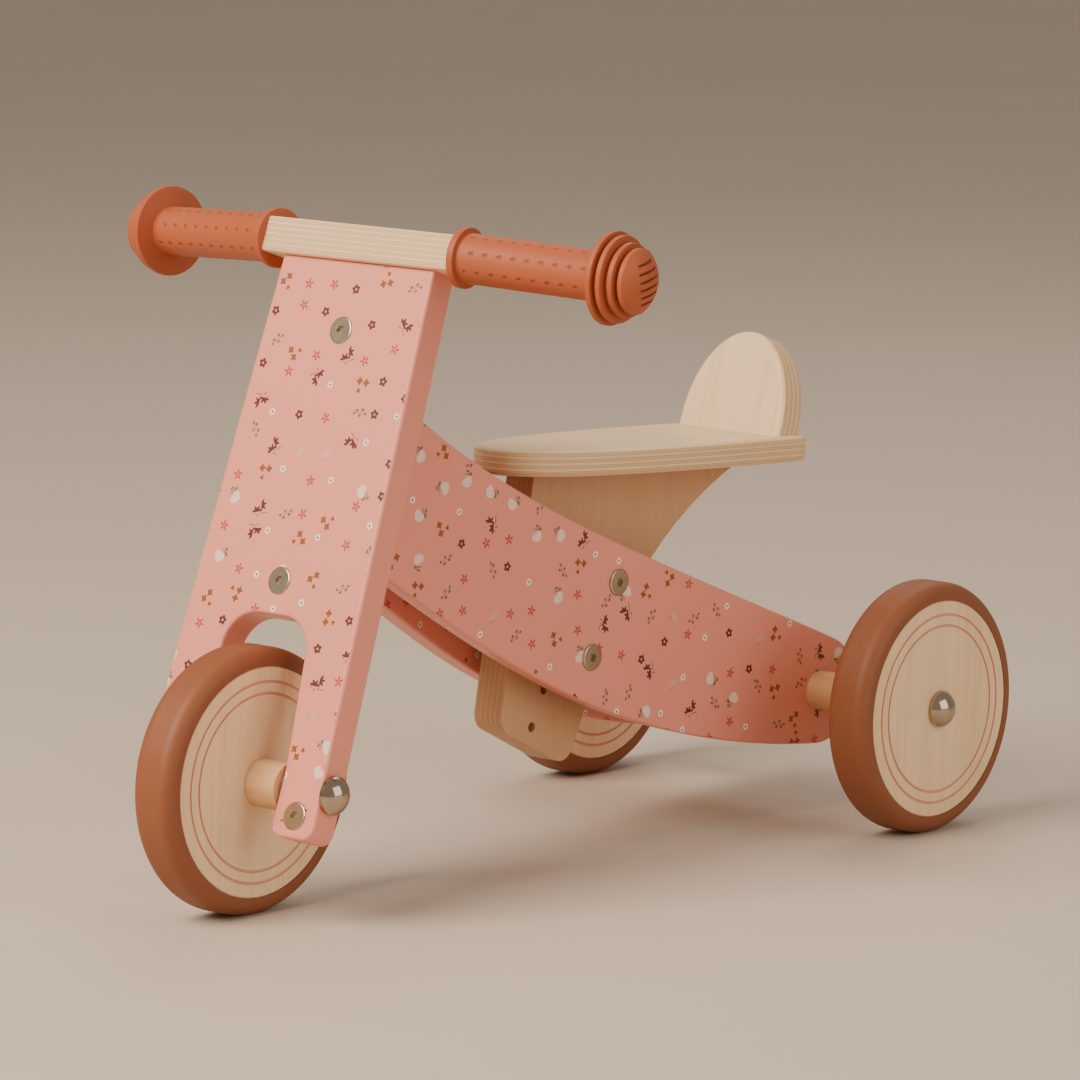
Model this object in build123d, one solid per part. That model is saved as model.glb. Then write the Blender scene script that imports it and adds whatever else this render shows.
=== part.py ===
from build123d import *
from math import asin, cos, radians, sin, sqrt, tan
import os

# Children's wooden tricycle, in millimetres. It stands on z = 0 and faces -Y.
# The origin is on the ground, midway between the front axle and the rear axle.

# Wheels
wheel_radius = 80.0
tyre_depth = 11.0
tyre_width = 30.6
tyre_shoulder = 8.5
disc_edge = 0.8
groove_radii = (60.0, 53.0)
groove_width = 1.2
groove_depth = 0.6
axle_diameter = 8.0
bush_diameter = 13.0
cap_nut_diameter = 23.0
cap_nut_rim = 2.6
cap_nut_height = 9.5

# Layout
wheelbase = 478.0
rear_track_outer = 308.6
rake = 19.8

# Fork plate
fork_thickness = 20.0
fork_height_over_axle = 314.6
fork_below_axle = 30.0
fork_top_width = 120.4
fork_bottom_width = 144.8
fork_edge_round = 2.0
leg_corner = 8.0
arch_top_over_tyre = 18.2
arch_corner = 23.0
arch_upright = 26.0
arch_top_width = 66.8
arch_bottom_width = 79.0
arch_widest_over_axle = 10.0
leg_screw_below_axle = 16.6
leg_screw_diameter = 5.0
leg_screw_length = 16.0

# Fasteners
bolt_diameter = 6.0
bolt_head_diameter = 17.0
bolt_head_thickness = 2.6
bolt_head_round = 1.0
bolt_head_recess = 1.8
hex_socket = 6.0
hex_depth = 2.0
nut_diameter = 12.0
nut_thickness = 5.0
washer_thickness = 1.2

# Steering head
axis_behind_fork = 20.0
head_block_height = 108.0
head_block_depth = 40.0
head_block_top_drop = 72.0
block_ahead_of_axis = 8.0
board_ahead_of_axis = 5.0
board_low_rise = 10.0
pin_diameter = 8.0
pin_head_diameter = 14.0
pin_head_thickness = 3.0
head_tube_diameter = 12.0
bracket_thickness = 3.0
bracket_width = 30.0
bracket_leaf = 26.0
bracket_reach = 29.0
bracket_gap = 0.6
upper_bolt_drop = 42.4
lower_bolt_drop = 195.9
head_dowel_behind_axis = 17.0
head_dowel_spacing = 58.0
head_dowel_depth = 8.0

# Handlebar and grips
bar_thickness = 21.8
bar_depth = 27.0
bar_overhang = 4.5
bar_edge_round = 2.0
bar_half_length = 73.0
bar_sweep = 7.33
peg_behind_bar_front = 12.3
peg_diameter = 19.0
grip_diameter = 30.0
collar_diameter = 36.5
collar_width = 4.5
grip_length = 103.6
ring_diameters = (55.3, 51.4, 44.0)
ring_width = 3.4
ring_gap = 2.2
ring_groove_depth = 6.0
dome_diameter = 38.8
dome_rim = 3.0
dome_height = 8.5
peg_end_wall = 6.0
bar_screw_spread = 64.0
bar_screw_diameter = 5.0
bar_screw_head = 10.0
bar_screw_length = 48.0

# Side boards
board_thickness = 14.0
board_front_half_width = 25.0
board_rear_half_width = 58.5
board_front_station = 100.0
board_rear_round = 35.0
board_tail_slope = 24.2
board_front_corner = 6.0
board_top_sags = ((0.165, 13.6), (0.44, 15.8), (0.76, 7.4))
board_bottom_sags = ((0.18, 17.4), (0.48, 33.6), (0.74, 25.8))
board_edge_round = 1.6
rear_spacer_diameter = 25.0
rear_crossbar_diameter = 30.0
spacer_seat_depth = 1.5
front_spacer_diameter = 29.0

# Seat, backrest and post
seat_height = 245.0
seat_thickness = 16.4
seat_tilt = 2.64
seat_rear_narrowing = 1.0
seat_width = 98.0
seat_front_behind_axle = 218.6
seat_rear_behind_axle = 482.0
seat_side_straight = 72.0
seat_nose_pull_side = 36.0
seat_nose_pull_back = 60.0
seat_rear_corner = 16.0
seat_dowel_ahead = 55.0
seat_dowel_behind = 45.0
seat_edge_round = 4.0
backrest_thickness = 21.5
backrest_front_behind_axle = 451.0
backrest_lean = 16.4
backrest_dowel_spread = 44.0
backrest_width = 82.6
backrest_height = 66.0
backrest_straight = 6.0
backrest_edge_round = 3.6
post_thickness = 22.0
post_slant = 26.6
post_hole_pitch = 25.0
post_hole_count = 5
bolted_holes = (0, 2)
post_hole_diameter = 6.4
post_bolt_behind_axle = 293.8
post_bolt_height = 169.0
post_foot_below = 111.0
post_foot_ahead = 28.7
post_foot_width = 72.0
post_foot_height = 41.0
post_front_lean = 11.6
post_top_length = 208.0
post_rear_via = (60.1, 35.0)
post_corner = 12.0
wedge_radius = 14.0
dowel_diameter = 8.0
dowel_length = 24.0
dowel_end_room = 2.0
dowel_set_back = 1.0

# Clearances
spin_clearance = 0.05
side_clearance = 0.3
fit_clearance = 0.05

# Derived sizes
front_axle_y = -wheelbase / 2
rear_axle_y = wheelbase / 2
disc_radius = wheel_radius - tyre_depth
disc_width = tyre_width - 0.2
rear_disc_outer = rear_track_outer / 2
rear_disc_inner = rear_disc_outer - disc_width
splay = (board_rear_half_width - board_front_half_width) / (wheelbase - board_front_station)
peg_start = fork_thickness / 2 + bar_overhang - peg_behind_bar_front
post_bolt_spacing = (bolted_holes[1] - bolted_holes[0]) * post_hole_pitch
seat_pivot_y = -wheelbase / 2 + backrest_front_behind_axle
axis_w = -(fork_thickness / 2 + axis_behind_fork)
grip_end = grip_length + 3 * ring_width + 3 * ring_gap + dome_rim + dome_height

# The fork plane lies in the middle of the fork plate, through the front axle.
# Its x is sideways, its y runs up the rake, and its z points forwards.
fork_plane = Plane(
    origin=(0, front_axle_y, wheel_radius),
    x_dir=(1, 0, 0),
    z_dir=(0, -cos(radians(rake)), sin(radians(rake))),
)


def write(name, solid):
    export_step(solid, f"parts/{name}.step")


def on_fork(x, up, forward):
    return fork_plane.from_local_coords(Vector(x, up, forward))


def cylinder_between(start, end, diameter):
    path = Edge.make_line(start, end)
    section = Plane(origin=start, z_dir=(end - start)) * Circle(diameter / 2)
    return extrude(section, path.length)


def cross_cylinder(y, z, x_from, x_to, diameter):
    return cylinder_between(Vector(x_from, y, z), Vector(x_to, y, z), diameter)


def sides():
    return (("left", -1), ("right", 1))


def flip(solid, side):
    return solid if side > 0 else mirror(solid, about=Plane.YZ)


def round_cap(radius, height, start):
    """Half section of a ball's cap, from its rim to its crown on the Y axis of the sketch."""
    ball = (radius * radius + height * height) / (2 * height)
    half_angle = asin(radius / ball) / 2
    crown = start + height
    middle = (ball * sin(half_angle), crown - ball * (1 - cos(half_angle)))
    return ThreePointArc((radius, start), middle, (0, crown))


# Fasteners

def domed_head(plane):
    """A low round head with a hex socket, seated on a plane and rising along its normal."""
    head = extrude(plane * Circle(bolt_head_diameter / 2), bolt_head_thickness)
    head = fillet(head.faces().sort_by(Axis(plane.origin, plane.z_dir))[-1].edges(), bolt_head_round)
    socket_plane = plane.offset(bolt_head_thickness - hex_depth)
    return head - extrude(socket_plane * RegularPolygon(hex_socket / 2, 6), hex_depth)


def cap_nut(plane):
    """A round rim with a dome over it, closed at the end of the axle."""
    rim = cap_nut_diameter / 2
    dome = round_cap(rim, cap_nut_height - cap_nut_rim, cap_nut_rim)
    outline = Polyline((0, cap_nut_height), (0, 0), (rim, 0), (rim, cap_nut_rim)) + dome
    return plane * revolve(Plane.XZ * make_face(outline), Axis.Z)


def side_plane(x, y, z, side):
    return Plane(origin=(side * x, y, z), x_dir=(0, side, 0), z_dir=(side, 0, 0))


# Wheels

def wheel_disc(x_inner, x_outer, y):
    disc = cross_cylinder(y, wheel_radius, x_inner, x_outer, 2 * disc_radius)
    disc = chamfer(disc.edges().filter_by(GeomType.CIRCLE), disc_edge)
    disc -= cross_cylinder(y, wheel_radius, x_inner, x_outer, bush_diameter)
    for radius in groove_radii:
        for x_face, inward in ((x_inner, 1), (x_outer, -1)):
            ring = Plane.YZ.offset(x_face) * Pos(y, wheel_radius) * (
                Circle(radius + groove_width / 2) - Circle(radius - groove_width / 2)
            )
            disc -= extrude(ring, inward * groove_depth)
    return disc


def wheel_bush(x_inner, x_outer, y):
    bush = cross_cylinder(y, wheel_radius, x_inner, x_outer, bush_diameter)
    bore = axle_diameter + 2 * spin_clearance
    return bush - cross_cylinder(y, wheel_radius, x_inner, x_outer, bore)


def wheel_tyre(x_middle, y):
    section = Pos((disc_radius + wheel_radius) / 2, 0) * Rectangle(tyre_depth, tyre_width)
    outer = section.vertices().group_by(Axis.X)[-1]
    section = fillet(outer, tyre_shoulder)
    tyre = revolve(section, Axis.Y)
    return Pos(x_middle, y, wheel_radius) * Rot(0, 0, 90) * tyre


def wheels():
    half = disc_width / 2
    places = [("front", 0.0, front_axle_y)]
    places += [(f"rear_{name}", side * (rear_disc_outer - half), rear_axle_y) for name, side in sides()]
    for name, x, y in places:
        write(f"{name}_wheel_disc", wheel_disc(x - half, x + half, y))
        write(f"{name}_wheel_bush", wheel_bush(x - half, x + half, y))
        write(f"{name}_wheel_tyre", wheel_tyre(x, y))


# Fork

def arch_cut():
    top = wheel_radius + arch_top_over_tyre
    low = -fork_below_axle - leg_corner
    outline = Polyline(
        (-arch_bottom_width / 2, low),
        (-arch_bottom_width / 2, arch_widest_over_axle),
        (-arch_top_width / 2, top - arch_upright),
        (-arch_top_width / 2, top),
        (arch_top_width / 2, top),
        (arch_top_width / 2, top - arch_upright),
        (arch_bottom_width / 2, arch_widest_over_axle),
        (arch_bottom_width / 2, low),
        close=True,
    )
    face = make_face(outline)
    return fillet(face.vertices().group_by(Axis.Y)[-1], arch_corner)


def fork_plate():
    low = -fork_below_axle
    outline = make_face(Polyline(
        (-fork_bottom_width / 2, low),
        (fork_bottom_width / 2, low),
        (fork_top_width / 2, fork_height_over_axle),
        (-fork_top_width / 2, fork_height_over_axle),
        close=True,
    ))
    outline -= arch_cut()
    outline = fillet(outline.vertices().group_by(Axis.Y)[0], leg_corner)
    plate = extrude(fork_plane * outline, fork_thickness / 2, both=True)
    front = plate.faces().sort_by(Axis(fork_plane.origin, fork_plane.z_dir))
    plate = fillet(front[-1].outer_wire().edges() + front[0].outer_wire().edges(), fork_edge_round)
    plate -= cross_cylinder(front_axle_y, wheel_radius, -fork_bottom_width, fork_bottom_width, axle_diameter)
    for drop in (upper_bolt_drop, lower_bolt_drop):
        up = fork_height_over_axle - drop
        plate -= cylinder_between(on_fork(0, up, -fork_thickness), on_fork(0, up, fork_thickness), bolt_diameter)
        plate -= head_recess(fork_plane.offset(fork_thickness / 2), 0, up)
    for _, side in sides():
        plate -= leg_screw(side, solid_only=True)
        plate -= head_recess(fork_plane.offset(fork_thickness / 2), side * leg_centre(), -leg_screw_below_axle)
        plate -= bar_screw(side)
    return plate


def leg_centre():
    return (fork_bottom_width + arch_bottom_width) / 4


def head_recess(face_plane, x, y):
    seat = face_plane.offset(-bolt_head_recess) * Pos(x, y) * Circle(bolt_head_diameter / 2 + fit_clearance)
    return extrude(seat, 2 * bolt_head_recess)


def leg_screw(side, solid_only=False):
    seat = fork_thickness / 2 - bolt_head_recess
    place = Pos(side * leg_centre(), -leg_screw_below_axle)
    shank = extrude(fork_plane.offset(seat) * place * Circle(leg_screw_diameter / 2), -leg_screw_length)
    if solid_only:
        return shank
    head_plane = Plane(on_fork(side * leg_centre(), -leg_screw_below_axle, seat), fork_plane.x_dir, fork_plane.z_dir)
    return domed_head(head_plane) + shank


def pivot_bolt(drop):
    up = fork_height_over_axle - drop
    seat = fork_thickness / 2 - bolt_head_recess
    back = -fork_thickness / 2 - bracket_thickness - nut_thickness - 1.0
    head_plane = Plane(on_fork(0, up, seat), fork_plane.x_dir, fork_plane.z_dir)
    return domed_head(head_plane) + cylinder_between(on_fork(0, up, seat), on_fork(0, up, back), bolt_diameter)


def pivot_nut(drop):
    up = fork_height_over_axle - drop
    plane = fork_plane.offset(-fork_thickness / 2 - bracket_thickness) * Pos(0, up)
    ring = plane * (RegularPolygon(nut_diameter / 2, 6) - Circle(bolt_diameter / 2))
    return extrude(ring, -nut_thickness)


def arm_level(upper):
    """Height up the fork of the bracket arm's face that meets the head block."""
    block_top = fork_height_over_axle - head_block_top_drop
    return block_top + bracket_gap if upper else block_top - head_block_height - bracket_gap


def pivot_bracket(upper):
    """An angle of steel: a leaf on the back of the fork and an arm that holds the pin."""
    grow = 1 if upper else -1
    level = arm_level(upper)
    back = -fork_thickness / 2
    bolt_up = fork_height_over_axle - (upper_bolt_drop if upper else lower_bolt_drop)
    leaf_end = bolt_up + grow * bracket_leaf / 2
    leaf = Pos(0, (level + leaf_end) / 2) * Rectangle(bracket_width, abs(leaf_end - level))
    leaf = extrude(fork_plane.offset(back) * leaf, -bracket_thickness)
    arm_plane = Plane(on_fork(0, level, 0), fork_plane.x_dir, grow * on_fork(0, 1, 0) - grow * on_fork(0, 0, 0))
    reach = bracket_reach
    arm_middle = abs(back) + reach / 2
    arm = extrude(arm_plane * Pos(0, grow * arm_middle) * Rectangle(bracket_width, reach), bracket_thickness)
    bracket = leaf + arm
    bracket -= cylinder_between(on_fork(0, bolt_up, 0), on_fork(0, bolt_up, 2 * back), bolt_diameter)
    return bracket - cylinder_between(on_fork(0, level - 20, axis_w), on_fork(0, level + 20, axis_w), pin_diameter)


def pivot_pin():
    top = arm_level(True) + bracket_thickness
    bottom = arm_level(False) - bracket_thickness - nut_thickness - 1.0
    head = cylinder_between(on_fork(0, top, axis_w), on_fork(0, top + pin_head_thickness, axis_w), pin_head_diameter)
    return head + cylinder_between(on_fork(0, top, axis_w), on_fork(0, bottom, axis_w), pin_diameter)


def pivot_pin_nut():
    top = arm_level(False) - bracket_thickness
    start = on_fork(0, top, axis_w)
    end = on_fork(0, top - nut_thickness, axis_w)
    return cylinder_between(start, end, nut_diameter + 1.0) - cylinder_between(start, end, pin_diameter)


def fork_side_width(up):
    """Half width of the fork plate at a height up the rake from the axle."""
    share = (up + fork_below_axle) / (fork_height_over_axle + fork_below_axle)
    return (fork_bottom_width + (fork_top_width - fork_bottom_width) * share) / 2


def front_axle_parts():
    y, z = front_axle_y, wheel_radius
    leg_outer = fork_side_width(-cap_nut_diameter / 2) + fit_clearance
    leg_inner = arch_bottom_width / 2
    disc_side = disc_width / 2 + side_clearance
    washer_end = leg_inner - washer_thickness
    axle_end = leg_outer + cap_nut_rim
    write("front_axle", cross_cylinder(y, z, -axle_end, axle_end, axle_diameter))
    for name, side in sides():
        spacer = cross_cylinder(y, z, disc_side, washer_end, front_spacer_diameter)
        spacer -= cross_cylinder(y, z, disc_side, washer_end, axle_diameter)
        write(f"front_spacer_{name}", flip(spacer, side))
        washer = cross_cylinder(y, z, washer_end, leg_inner, bush_diameter + 7.0)
        washer -= cross_cylinder(y, z, washer_end, leg_inner, axle_diameter)
        write(f"front_washer_{name}", flip(washer, side))
        nut = cap_nut(side_plane(leg_outer, y, z, 1))
        nut -= cross_cylinder(y, z, 0, axle_end, axle_diameter)
        write(f"front_cap_nut_{name}", flip(nut, side))


# Handlebar

def peg_plane(side):
    """Starts at the end of the bar, on the peg's axis, and looks outwards along it."""
    level = fork_height_over_axle + bar_thickness / 2
    start = on_fork(side * bar_half_length, level, peg_start)
    direction = on_fork(side * cos(radians(bar_sweep)), 0, -sin(radians(bar_sweep))) - on_fork(0, 0, 0)
    upwards = on_fork(0, 1, 0) - on_fork(0, 0, 0)
    return Plane(origin=start, x_dir=upwards, z_dir=direction)


def handlebar():
    bar = fork_plane.offset(fork_thickness / 2 + bar_overhang - bar_depth / 2)
    level = fork_height_over_axle + bar_thickness / 2
    middle = Pos(0, level) * Rectangle(2 * bar_half_length + bar_depth, bar_thickness)
    solid = extrude(bar * middle, bar_depth / 2, both=True)
    solid = fillet(solid.edges().filter_by(Axis.X), bar_edge_round)
    peg_length = grip_end - peg_end_wall
    for _, side in sides():
        solid -= extrude(peg_plane(side) * Rectangle(4 * bar_depth, 4 * bar_depth), 2 * bar_depth)
        root = peg_plane(side).offset(-peg_diameter / 2)
        solid += extrude(root * Circle(peg_diameter / 2), peg_length + peg_diameter / 2)
        solid -= bar_screw(side)
    return solid


def bar_screw(side):
    """A countersunk screw driven down through the bar into the top of the fork."""
    x = side * bar_screw_spread / 2
    top = fork_height_over_axle + bar_thickness
    depth = (bar_screw_head - bar_screw_diameter) / 2
    shank = cylinder_between(on_fork(x, top - depth, 0), on_fork(x, top - bar_screw_length, 0), bar_screw_diameter)
    plane = Plane(origin=on_fork(x, top, 0), z_dir=on_fork(0, -1, 0) - on_fork(0, 0, 0))
    head = loft([plane * Circle(bar_screw_head / 2), plane.offset(depth) * Circle(bar_screw_diameter / 2)])
    return head + shank


def grip_outline():
    """Half section of the grip up to its dome: radius, then distance along the peg."""
    radius = grip_diameter / 2
    rim = collar_diameter / 2
    points = [(rim, 0), (rim, collar_width), (radius, collar_width), (radius, grip_length)]
    along = grip_length
    for diameter in ring_diameters:
        groove = diameter / 2 - ring_groove_depth
        points += [(diameter / 2, along), (diameter / 2, along + ring_width), (groove, along + ring_width)]
        along += ring_width + ring_gap
        points.append((groove, along))
    rim = dome_diameter / 2
    return points + [(rim, along), (rim, along + dome_rim)]


def grip(side):
    """A sleeve over the peg, closed by the dome at its end."""
    points = grip_outline()
    bore = peg_diameter / 2
    peg_length = grip_end - peg_end_wall
    dome = round_cap(dome_diameter / 2, dome_height, points[-1][1])
    inner = Polyline((0, grip_end), (0, peg_length), (bore, peg_length), (bore, 0), *points)
    return peg_plane(side) * revolve(Plane.XZ * make_face(inner + dome), Axis.Z)


# Side boards and what holds them

def outer_half_width(behind_axle):
    return board_front_half_width + splay * (behind_axle - board_front_station)


def inner_half_width(behind_axle):
    return outer_half_width(behind_axle) - board_thickness * sqrt(1 + splay * splay)


def plan_band(near_side, far_side):
    """A tall block between two lines in plan, each a half width given by the distance behind the axle."""
    start, end = 0.0, wheelbase + 2 * board_rear_round
    corners = [(near_side(start), start), (far_side(start), start), (far_side(end), end), (near_side(end), end)]
    face = make_face(Polyline(*corners, close=True))
    return Pos(0, front_axle_y, 0) * extrude(face, fork_height_over_axle + 2 * wheel_radius)


def side_point(behind_axle, height):
    return (front_axle_y + behind_axle, height)


def board_point(y, z):
    """A point on the board's outer face, in the board's plane."""
    return ((y - rear_axle_y) * sqrt(1 + splay * splay), z)


def sagging_points(start, end, sags):
    points = []
    for share, drop in sags:
        y = start[0] + share * (end[0] - start[0])
        z = start[1] + share * (end[1] - start[1]) - drop
        points.append((y, z))
    return points


def board_outline():
    front_w = axis_w + board_ahead_of_axis
    block_top = fork_height_over_axle - head_block_top_drop
    front_top = on_fork(0, block_top, front_w)
    front_low = on_fork(0, block_top - head_block_height + board_low_rise, front_w)
    top = board_point(front_top.Y, front_top.Z)
    low = board_point(front_low.Y, front_low.Z)
    slope = radians(board_tail_slope)
    tail_top = (board_rear_round * sin(slope), wheel_radius + board_rear_round * cos(slope))
    tail_end = (board_rear_round, wheel_radius)
    tail_low = (0, wheel_radius - board_rear_round)
    upper = Spline(top, *sagging_points(top, tail_top, board_top_sags), tail_top)
    lower = Spline(low, *sagging_points(low, tail_low, board_bottom_sags), tail_low)
    face = make_face(Line(low, top) + upper + ThreePointArc(tail_top, tail_end, tail_low) + lower)
    return fillet(face.vertices().group_by(Axis.X, tol_digits=0)[0:2], board_front_corner)


def board_plane():
    """Outer face of the right board: its x runs rearwards along the board, from the rear axle."""
    along = Vector(splay, 1, 0).normalized()
    return Plane(
        origin=(board_rear_half_width, rear_axle_y, 0), x_dir=along, z_dir=along.cross(Vector(0, 0, 1))
    )


def side_board():
    board = extrude(board_plane() * board_outline(), -board_thickness)
    faces = board.faces().sort_by(Axis(board_plane().origin, board_plane().z_dir))
    return fillet(faces[0].edges() + faces[-1].edges(), board_edge_round)


def bolt_places():
    """The bolts across the boards and the post: name, distance behind the front axle and height."""
    return [(f"seat_bolt_{name}", *post_hole_place(index)) for name, index in zip(("upper", "lower"), bolted_holes)]


def head_dowel(sign):
    """A blind dowel through the head block and into both boards."""
    block_middle = fork_height_over_axle - head_block_top_drop - head_block_height / 2
    point = on_fork(0, block_middle + sign * head_dowel_spacing / 2, axis_w - head_dowel_behind_axis)
    end = inner_half_width(point.Y - front_axle_y) + head_dowel_depth
    return cross_cylinder(point.Y, point.Z, -end, end, dowel_diameter)


def post_hole_place(index):
    behind = post_bolt_behind_axle - index * post_hole_pitch * sin(radians(post_slant))
    return behind, post_bolt_height - index * post_hole_pitch * cos(radians(post_slant))


def bolt_head_x(behind_axle):
    return outer_half_width(behind_axle) - bolt_head_recess


def cross_bolt(behind_axle, height):
    y = front_axle_y + behind_axle
    head_x = bolt_head_x(behind_axle)
    return domed_head(side_plane(head_x, y, height, 1)) + cross_cylinder(y, height, -head_x, head_x, bolt_diameter)


def cross_nut(behind_axle, height):
    y = front_axle_y + behind_axle
    head_x = bolt_head_x(behind_axle)
    return domed_head(side_plane(head_x, y, height, -1))


def drill_across(solid, behind_axle, height, diameter=bolt_diameter):
    y = front_axle_y + behind_axle
    return solid - cross_cylinder(y, height, -rear_track_outer, rear_track_outer, diameter)


def boards():
    board = side_board()
    for _, behind, height in bolt_places():
        board = drill_across(board, behind, height)
        head_x = bolt_head_x(behind)
        seat = bolt_head_diameter + 2 * fit_clearance
        board -= cross_cylinder(front_axle_y + behind, height, head_x, head_x + 10.0, seat)
    board = drill_across(board, wheelbase, wheel_radius, axle_diameter)
    seat_x = board_rear_half_width - spacer_seat_depth
    spacer_seat = rear_spacer_diameter + 2 * fit_clearance
    board -= cross_cylinder(rear_axle_y, wheel_radius, seat_x, seat_x + 10.0, spacer_seat)
    board -= head_dowel(1)
    board -= head_dowel(-1)
    for name, side in sides():
        write(f"side_board_{name}", flip(board, side))
    for name, behind, height in bolt_places():
        write(name, cross_bolt(behind, height))
        write(name.replace("bolt", "nut"), cross_nut(behind, height))


def head_block():
    block_top = fork_height_over_axle - head_block_top_drop
    block_front = axis_w + block_ahead_of_axis
    shape = Pos(0, block_top - head_block_height / 2) * Rectangle(rear_track_outer, head_block_height)
    block = extrude(fork_plane.offset(block_front) * shape, -head_block_depth)
    block &= plan_band(lambda behind: -inner_half_width(behind), inner_half_width)
    block -= head_tube_solid()
    return block - head_dowel(1) - head_dowel(-1)


def head_tube_solid():
    block_top = fork_height_over_axle - head_block_top_drop
    start = on_fork(0, block_top, axis_w)
    end = on_fork(0, block_top - head_block_height, axis_w)
    return cylinder_between(start, end, head_tube_diameter)


def head_tube():
    block_top = fork_height_over_axle - head_block_top_drop
    start = on_fork(0, block_top, axis_w)
    end = on_fork(0, block_top - head_block_height, axis_w)
    return head_tube_solid() - cylinder_between(start, end, pin_diameter + 2 * spin_clearance)


def rear_axle_parts():
    y, z = rear_axle_y, wheel_radius
    bar = cross_cylinder(y, z, -rear_disc_outer, rear_disc_outer, rear_crossbar_diameter)
    bar &= plan_band(lambda behind: -inner_half_width(behind), inner_half_width)
    write("rear_crossbar", drill_across(bar, wheelbase, z, axle_diameter))
    cap_x = rear_disc_outer + side_clearance
    axle_end = cap_x + cap_nut_rim
    write("rear_axle", cross_cylinder(y, z, -axle_end, axle_end, axle_diameter))
    start = board_rear_half_width - spacer_seat_depth
    end = rear_disc_inner - side_clearance
    for name, side in sides():
        spacer = cross_cylinder(y, z, start, end, rear_spacer_diameter)
        spacer -= cross_cylinder(y, z, start, end, axle_diameter)
        write(f"rear_spacer_{name}", flip(spacer, side))
        nut = cap_nut(side_plane(cap_x, y, z, 1))
        nut -= cross_cylinder(y, z, 0, axle_end, axle_diameter)
        write(f"rear_cap_nut_{name}", flip(nut, side))


# Seat

def tilted(solid):
    """The seat and all that stands on it, turned so that the nose is the higher end."""
    return solid.rotate(Axis((0, seat_pivot_y, seat_height), (1, 0, 0)), -seat_tilt)


def under_seat(y):
    tilt = radians(seat_tilt)
    return seat_height - seat_thickness / cos(tilt) - (y - seat_pivot_y) * tan(tilt)


def post_outline():
    """Built from the upper bolt: the foot is square to the line of holes, the rear flares to the seat."""
    slant = radians(post_slant)
    along = Vector(-sin(slant), -cos(slant))
    across = Vector(cos(slant), -sin(slant))
    bolt = Vector(*side_point(post_bolt_behind_axle, post_bolt_height))
    foot_front = bolt + along * post_foot_below - across * post_foot_ahead
    foot_rear = foot_front + across * post_foot_width
    lean = tan(radians(post_front_lean))
    front_y = foot_front.X + (seat_height - seat_thickness - foot_front.Y) * lean
    front_top = Vector(front_y, under_seat(front_y))
    rear_top = Vector(front_y + post_top_length, under_seat(front_y + post_top_length))
    rear_low = foot_rear - along * post_foot_height
    via = bolt + across * post_rear_via[0] - along * post_rear_via[1]
    edges = Polyline(rear_top, front_top, foot_front, foot_rear, rear_low) + ThreePointArc(rear_low, via, rear_top)
    face = make_face(edges)
    corners = face.vertices().sort_by_distance(Vertex(foot_rear.X, foot_rear.Y, 0))[:1]
    corners += face.vertices().sort_by_distance(Vertex(foot_front.X, foot_front.Y, 0))[:1]
    return fillet(corners, post_corner)


def seat_post():
    post = extrude(Plane.YZ * post_outline(), post_thickness / 2, both=True)
    for index in range(post_hole_count):
        hole = bolt_diameter if index in bolted_holes else post_hole_diameter
        post = drill_across(post, *post_hole_place(index), hole)
    for behind in seat_dowel_places():
        post -= seat_dowel(behind)
    return post


def seat_dowel_places():
    middle = (seat_front_behind_axle + seat_rear_behind_axle) / 2
    return (middle - seat_dowel_ahead, middle + seat_dowel_behind)


def seat_dowel(behind):
    """Half in the post, half in the seat, with a little room over its upper end."""
    start = Vector(0, front_axle_y + behind, seat_height - seat_thickness - dowel_length / 2)
    return tilted(cylinder_between(start, start + Vector(0, 0, dowel_length - dowel_end_room), dowel_diameter))


def seat_outline():
    front = front_axle_y + seat_front_behind_axle
    rear = front_axle_y + seat_rear_behind_axle
    half = seat_width / 2
    widest = rear - seat_side_straight
    nose = Bezier((0, front), (seat_nose_pull_side, front), (half, front + seat_nose_pull_back), (half, widest))
    nose += mirror(nose, about=Plane.YZ)
    narrow = half - seat_rear_narrowing
    back = Polyline((half, widest), (narrow, rear), (-narrow, rear), (-half, widest))
    face = make_face(nose + back)
    return fillet(face.vertices().group_by(Axis.Y)[-1], seat_rear_corner)


def seat():
    plate = extrude(Plane.XY.offset(seat_height - seat_thickness) * seat_outline(), seat_thickness)
    edges = plate.faces().sort_by(Axis.Z)[-1].edges() + plate.faces().sort_by(Axis.Z)[0].edges()
    plate = tilted(fillet(edges, seat_edge_round))
    for behind in seat_dowel_places():
        plate -= seat_dowel(behind)
    for _, side in sides():
        plate -= backrest_dowel(side)
    return plate


def backrest_plane():
    """Front face of the backrest: it leans back from a line across the seat."""
    lean = radians(backrest_lean)
    return Plane(
        origin=(0, seat_pivot_y, seat_height),
        x_dir=(1, 0, 0),
        z_dir=(0, -cos(lean), sin(lean)),
    )


def backrest_outline():
    """Half an oval on short upright sides, run on below the seat to be cut off there."""
    half = backrest_width / 2
    rise = backrest_height - backrest_straight
    top = EllipticalCenterArc((0, backrest_straight), half, rise, start_angle=0, arc_size=180)
    corners = [(-half, backrest_straight), (-half, -backrest_thickness)]
    corners += [(half, -backrest_thickness), (half, backrest_straight)]
    return make_face(Polyline(*corners) + top)


def backrest():
    panel = extrude(backrest_plane() * backrest_outline(), -backrest_thickness)
    front = panel.faces().sort_by(Axis((0, 0, 0), backrest_plane().z_dir))
    panel = fillet(front[-1].edges() + front[0].edges(), backrest_edge_round)
    panel -= Pos(0, 0, seat_height - wheelbase / 2) * Box(wheelbase, 2 * wheelbase, wheelbase)
    panel = tilted(panel)
    for _, side in sides():
        panel -= backrest_dowel(side)
    return panel


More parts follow.
